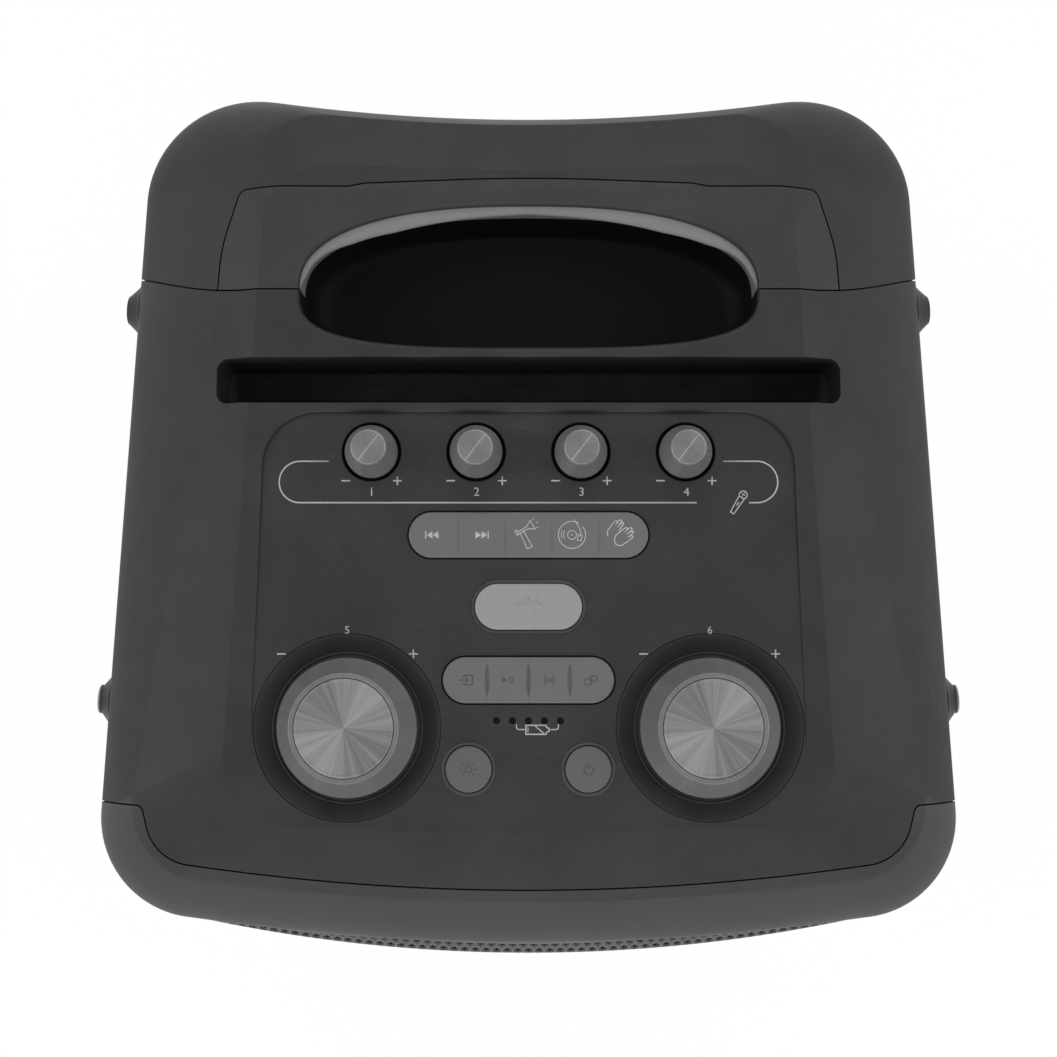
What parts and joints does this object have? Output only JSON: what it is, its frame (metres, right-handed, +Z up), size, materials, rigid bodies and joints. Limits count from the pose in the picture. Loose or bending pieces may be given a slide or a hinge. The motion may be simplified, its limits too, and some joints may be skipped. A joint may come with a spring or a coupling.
{
  "type": "karaoke speaker",
  "caption": "Portable tower karaoke speaker with a control deck, carry handle, tablet slot, grille, woofers and a connector panel.",
  "frame": {"origin": "on the table under the middle of the bounding box", "axes": "+Z up, -Y out of the front grille, +X to the right seen from the front"},
  "size_m": [0.3488, 0.3456, 0.6799],
  "materials": {
    "deck_plastic": "fine moulded grain",
    "body_plastic": "fine moulded grain",
    "dark_plastic": "fine moulded grain",
    "grey_plastic": "satin",
    "key_plastic": "satin",
    "round_key_plastic": "satin",
    "knob_plastic": "satin",
    "grille_steel": "black powder coat",
    "soft_rubber": "soft, matt",
    "black_rubber": "matt",
    "board_wood": "painted fibreboard",
    "steel": "plated",
    "cone_plastic": "satin",
    "light_guide": "frosted",
    "circuit_board": "lacquered",
    "cell_wrap": "shrink wrap"
  },
  "bodies": {
    "cabinet": {"top_deck": "deck_plastic", "main_cabinet": "body_plastic", "rear_shell": "body_plastic", "front_frame": "deck_plastic", "grille": "grille_steel", "handle_cover": "deck_plastic", "handle_grip": "soft_rubber", "handle_cup": "dark_plastic", "baffle_board": "board_wood", "upper_basket": "grille_steel", "lower_basket": "grille_steel", "upper_magnet": "steel", "lower_magnet": "steel", "surrounds": "black_rubber", "light_rings": "light_guide", "horn": "dark_plastic", "horn_driver": "steel", "port_tube": "dark_plastic", "jack_panel": "dark_plastic", "input_jacks": "dark_plastic", "mains_inlet": "dark_plastic", "amplifier_board": "circuit_board", "power_supply": "steel", "battery_pack": "cell_wrap", "control_board": "circuit_board", "knob_dishes": "dark_plastic", "potentiometers": "steel", "encoders": "steel", "tact_switches": "dark_plastic", "battery_lights": "light_guide", "strap_studs": "dark_plastic", "stud_caps": "grey_plastic", "feet": "black_rubber", "panel_screws": "steel"},
    "mic_knob_body": {"mic_knob": "grey_plastic"},
    "bass_knob_body": {"bass_knob": "grey_plastic"},
    "treble_knob_body": {"treble_knob": "grey_plastic"},
    "echo_knob_body": {"echo_knob": "grey_plastic"},
    "volume_dial": {"volume_knob": "knob_plastic", "volume_cap": "grey_plastic"},
    "light_dial": {"light_knob": "knob_plastic", "light_cap": "grey_plastic"},
    "back_key_body": {"back_key": "key_plastic"},
    "next_key_body": {"next_key": "key_plastic"},
    "horn_key_body": {"horn_key": "key_plastic"},
    "scratch_key_body": {"scratch_key": "key_plastic"},
    "clap_key_body": {"clap_key": "key_plastic"},
    "boost_key_body": {"boost_key": "grey_plastic"},
    "source_key_body": {"source_key": "key_plastic"},
    "play_key_body": {"play_key": "key_plastic"},
    "pair_key_body": {"pair_key": "key_plastic"},
    "link_key_body": {"link_key": "key_plastic"},
    "lamp_key_body": {"lamp_key": "round_key_plastic"},
    "power_key_body": {"power_key": "round_key_plastic"},
    "upper_cone_body": {"upper_cone": "cone_plastic"},
    "lower_cone_body": {"lower_cone": "cone_plastic"}
  },
  "joints": [
    {"name": "mic_turn", "type": "hinge", "parent": "cabinet", "child": "mic_knob_body", "pos_m": [-0.0606, 0.0246, 0.665], "axis": [0, 0, 1], "range_deg": [-280, 0]},
    {"name": "bass_turn", "type": "hinge", "parent": "cabinet", "child": "bass_knob_body", "pos_m": [-0.0202, 0.0246, 0.665], "axis": [0, 0, 1], "range_deg": [-280, 0]},
    {"name": "treble_turn", "type": "hinge", "parent": "cabinet", "child": "treble_knob_body", "pos_m": [0.0202, 0.0246, 0.665], "axis": [0, 0, 1], "range_deg": [-280, 0]},
    {"name": "echo_turn", "type": "hinge", "parent": "cabinet", "child": "echo_knob_body", "pos_m": [0.0606, 0.0246, 0.665], "axis": [0, 0, 1], "range_deg": [-280, 0]},
    {"name": "volume_turn", "type": "hinge", "parent": "cabinet", "child": "volume_dial", "pos_m": [0.0692, -0.0813, 0.665], "axis": [0, 0, 1], "continuous": true},
    {"name": "light_turn", "type": "hinge", "parent": "cabinet", "child": "light_dial", "pos_m": [-0.0692, -0.0813, 0.665], "axis": [0, 0, 1], "continuous": true},
    {"name": "back_press", "type": "slide", "parent": "cabinet", "child": "back_key_body", "axis": [0, 0, -1], "range_m": [0, 0.0005], "stiffness_N_per_m": 600, "springref_m": -0.0005},
    {"name": "next_press", "type": "slide", "parent": "cabinet", "child": "next_key_body", "axis": [0, 0, -1], "range_m": [0, 0.0005], "stiffness_N_per_m": 600, "springref_m": -0.0005},
    {"name": "horn_press", "type": "slide", "parent": "cabinet", "child": "horn_key_body", "axis": [0, 0, -1], "range_m": [0, 0.0005], "stiffness_N_per_m": 600, "springref_m": -0.0005},
    {"name": "scratch_press", "type": "slide", "parent": "cabinet", "child": "scratch_key_body", "axis": [0, 0, -1], "range_m": [0, 0.0005], "stiffness_N_per_m": 600, "springref_m": -0.0005},
    {"name": "clap_press", "type": "slide", "parent": "cabinet", "child": "clap_key_body", "axis": [0, 0, -1], "range_m": [0, 0.0005], "stiffness_N_per_m": 600, "springref_m": -0.0005},
    {"name": "boost_press", "type": "slide", "parent": "cabinet", "child": "boost_key_body", "axis": [0, 0, -1], "range_m": [0, 0.0005], "stiffness_N_per_m": 600, "springref_m": -0.0005},
    {"name": "source_press", "type": "slide", "parent": "cabinet", "child": "source_key_body", "axis": [0, 0, -1], "range_m": [0, 0.0005], "stiffness_N_per_m": 600, "springref_m": -0.0005},
    {"name": "play_press", "type": "slide", "parent": "cabinet", "child": "play_key_body", "axis": [0, 0, -1], "range_m": [0, 0.0005], "stiffness_N_per_m": 600, "springref_m": -0.0005},
    {"name": "pair_press", "type": "slide", "parent": "cabinet", "child": "pair_key_body", "axis": [0, 0, -1], "range_m": [0, 0.0005], "stiffness_N_per_m": 600, "springref_m": -0.0005},
    {"name": "link_press", "type": "slide", "parent": "cabinet", "child": "link_key_body", "axis": [0, 0, -1], "range_m": [0, 0.0005], "stiffness_N_per_m": 600, "springref_m": -0.0005},
    {"name": "lamp_press", "type": "slide", "parent": "cabinet", "child": "lamp_key_body", "axis": [0, 0, -1], "range_m": [0, 0.0005], "stiffness_N_per_m": 600, "springref_m": -0.0005},
    {"name": "power_press", "type": "slide", "parent": "cabinet", "child": "power_key_body", "axis": [0, 0, -1], "range_m": [0, 0.0005], "stiffness_N_per_m": 600, "springref_m": -0.0005},
    {"name": "upper_cone_stroke", "type": "slide", "parent": "cabinet", "child": "upper_cone_body", "axis": [0, -1, 0], "range_m": [-0.004, 0.004], "stiffness_N_per_m": 2500},
    {"name": "lower_cone_stroke", "type": "slide", "parent": "cabinet", "child": "lower_cone_body", "axis": [0, -1, 0], "range_m": [-0.004, 0.004], "stiffness_N_per_m": 2500}
  ]
}
